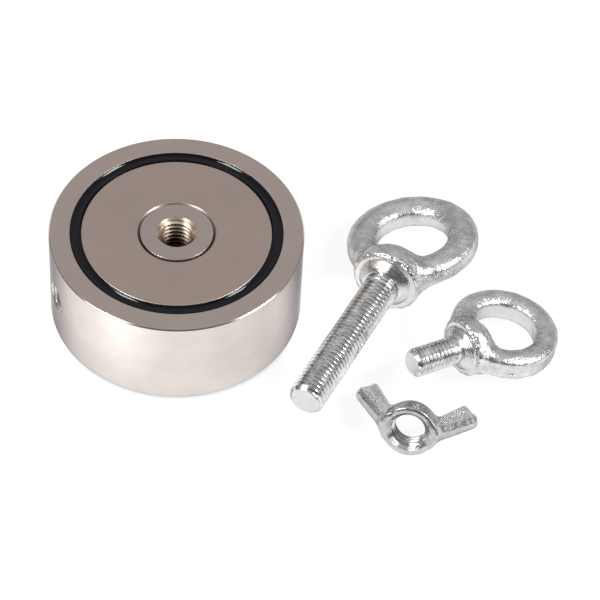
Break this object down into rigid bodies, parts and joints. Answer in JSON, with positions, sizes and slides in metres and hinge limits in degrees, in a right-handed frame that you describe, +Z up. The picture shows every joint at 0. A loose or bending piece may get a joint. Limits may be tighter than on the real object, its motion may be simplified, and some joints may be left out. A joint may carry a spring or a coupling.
{
  "type": "magnet fishing magnet",
  "caption": "Double-sided round pot magnet with a threaded centre and side hole, beside two eyebolts and a wing nut.",
  "frame": {"origin": "centre of the magnet's lower face, which is the plane that everything stands on", "axes": "+Z up along the magnet's threaded centre; +X towards the loose fittings; +Y away from the viewer"},
  "size_m": [0.1419, 0.0898, 0.029],
  "materials": {
    "nickel_steel": "satin nickel plating on turned steel",
    "nickel_magnet": "satin nickel plating on a sintered magnet",
    "nickel_bush": "turned steel with nickel plating",
    "black_epoxy": "glossy cast epoxy",
    "adhesive": "cured adhesive",
    "zinc_steel": "bright zinc plating on forged steel",
    "zinc_nut": "bright zinc plating, barrel polished"
  },
  "bodies": {
    "magnet": {"steel_pot": "nickel_steel", "centre_bush": "nickel_bush", "upper_magnet": "nickel_magnet", "lower_magnet": "nickel_magnet", "upper_glue_film": "adhesive", "lower_glue_film": "adhesive", "upper_potting": "black_epoxy", "lower_potting": "black_epoxy"},
    "long_eyebolt": {"long_eyebolt": "zinc_steel"},
    "short_eyebolt": {"short_eyebolt": "zinc_steel"},
    "wing_nut": {"wing_nut": "zinc_nut"}
  },
  "joints": [
    {"name": "long_eyebolt_lift", "type": "slide", "parent": "magnet", "child": "long_eyebolt", "axis": [0, 0, 1], "range_m": [0, 0.08]},
    {"name": "short_eyebolt_lift", "type": "slide", "parent": "magnet", "child": "short_eyebolt", "axis": [0, 0, 1], "range_m": [0, 0.08]},
    {"name": "wing_nut_lift", "type": "slide", "parent": "magnet", "child": "wing_nut", "axis": [0, 0, 1], "range_m": [0, 0.08]}
  ]
}
